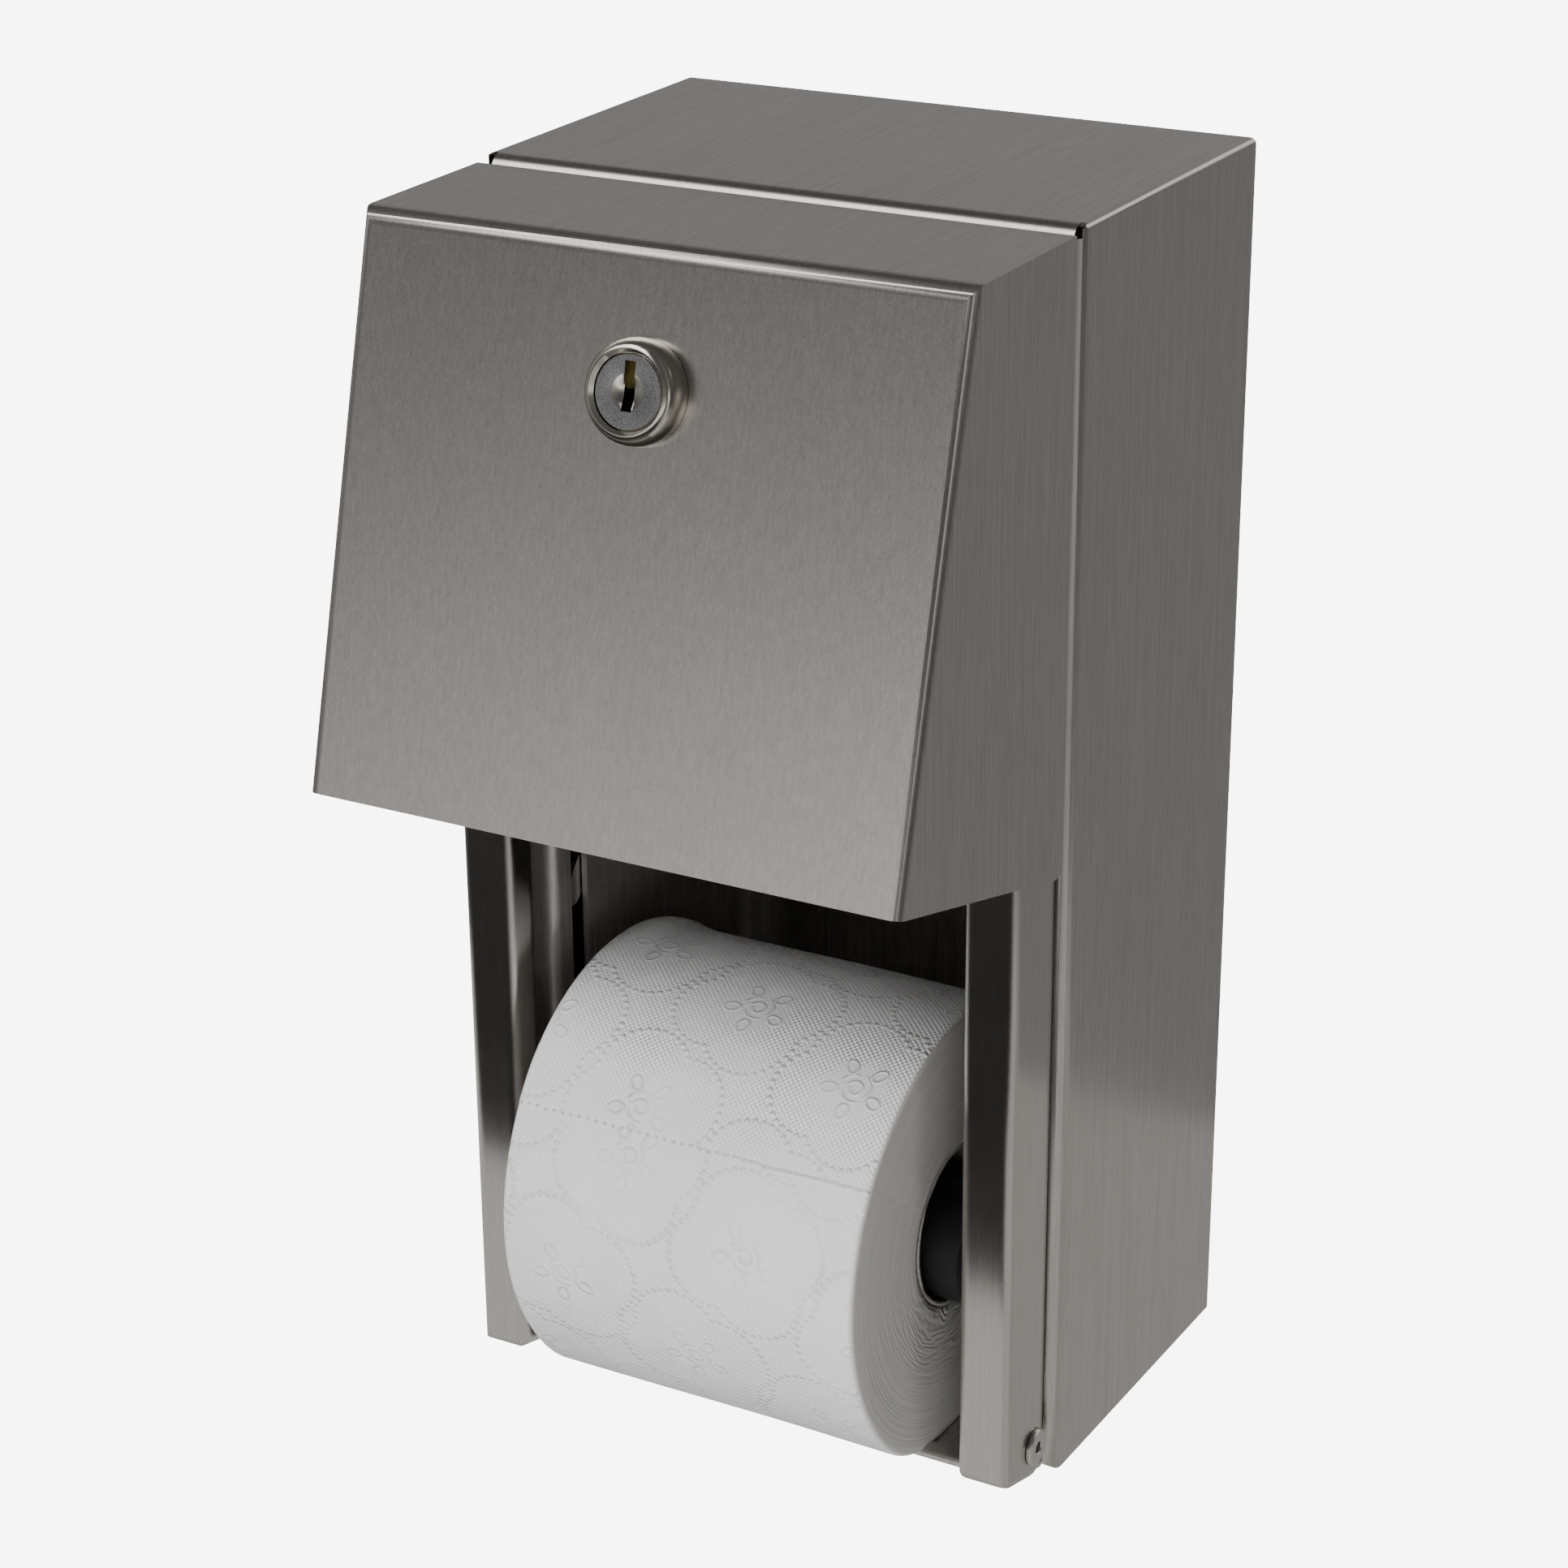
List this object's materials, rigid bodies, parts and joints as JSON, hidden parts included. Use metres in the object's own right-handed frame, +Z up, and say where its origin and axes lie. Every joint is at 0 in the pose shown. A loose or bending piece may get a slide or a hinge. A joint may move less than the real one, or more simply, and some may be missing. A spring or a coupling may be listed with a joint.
{
  "type": "toilet paper dispenser",
  "caption": "Lockable folded steel wall cabinet that holds one paper roll in use and one in reserve behind a swinging hood.",
  "frame": {"origin": "centre of the cabinet's back face, which lies on the wall", "axes": "+Z up, -Y out of the wall towards the user, +X to the right of someone who faces the dispenser"},
  "size_m": [0.1524, 0.1741, 0.3086],
  "materials": {
    "brushed_steel": "fine satin grain",
    "folded_steel": "satin sheet, folded",
    "inner_steel": "satin sheet, inside",
    "polished_nickel": "polished nickel plate",
    "zinc_steel": "zinc plated",
    "black_plastic": "moulded ABS, fine texture",
    "cardboard": "grey paperboard",
    "paper": "embossed tissue"
  },
  "bodies": {
    "cabinet": {"cabinet_shell": "brushed_steel", "back_panel": "folded_steel", "guide_frame": "inner_steel", "floor_plate": "inner_steel", "lock_keeper": "zinc_steel", "hinge_bracket_left": "zinc_steel", "hinge_bracket_right": "zinc_steel", "hinge_rivet_left": "polished_nickel", "hinge_rivet_right": "polished_nickel", "catch_pivot_left": "zinc_steel", "catch_pivot_right": "zinc_steel", "catch_stop_left": "zinc_steel", "catch_stop_right": "zinc_steel"},
    "door": {"hood": "brushed_steel", "rail_left": "folded_steel", "rail_right": "folded_steel", "lock_body": "polished_nickel", "lock_nut": "zinc_steel"},
    "lock_core": {"lock_plug": "polished_nickel", "lock_cam": "zinc_steel", "cam_nut": "zinc_steel"},
    "catch_left": {"catch_lever_left": "zinc_steel"},
    "catch_right": {"catch_lever_right": "zinc_steel"},
    "lower_bar": {"lower_spindle": "black_plastic"},
    "lower_roll": {"lower_core": "cardboard", "lower_paper": "paper"},
    "reserve_bar": {"reserve_spindle": "black_plastic"},
    "reserve_roll": {"reserve_core": "cardboard", "reserve_paper": "paper"}
  },
  "joints": [
    {"name": "door_hinge", "type": "hinge", "parent": "cabinet", "child": "door", "pos_m": [0, -0.1004, -0.14265], "axis": [1, 0, 0], "range_deg": [0, 85]},
    {"name": "lock_turn", "type": "hinge", "parent": "door", "child": "lock_core", "pos_m": [0, -0.14879, 0.12305], "axis": [0, 0.9679, -0.2514], "range_deg": [0, 90]},
    {"name": "reserve_catch_left", "type": "hinge", "parent": "cabinet", "child": "catch_left", "pos_m": [0, -0.0654, -0.01235], "axis": [-1, 0, 0], "range_deg": [0, 12]},
    {"name": "reserve_catch_right", "type": "hinge", "parent": "cabinet", "child": "catch_right", "pos_m": [0, -0.0654, -0.01235], "axis": [-1, 0, 0], "range_deg": [0, 12]},
    {"name": "lower_spindle_lift", "type": "slide", "parent": "cabinet", "child": "lower_bar", "axis": [0, 0, 1], "range_m": [0, 0.025]},
    {"name": "lower_roll_spin", "type": "hinge", "parent": "lower_bar", "child": "lower_roll", "pos_m": [0, -0.0825, -0.09775], "axis": [1, 0, 0], "continuous": true},
    {"name": "reserve_spindle_lift", "type": "slide", "parent": "cabinet", "child": "reserve_bar", "axis": [0, 0, 1], "range_m": [0, 0.02]},
    {"name": "reserve_roll_spin", "type": "hinge", "parent": "reserve_bar", "child": "reserve_roll", "pos_m": [0, -0.0825, 0.04555], "axis": [1, 0, 0], "continuous": true}
  ]
}
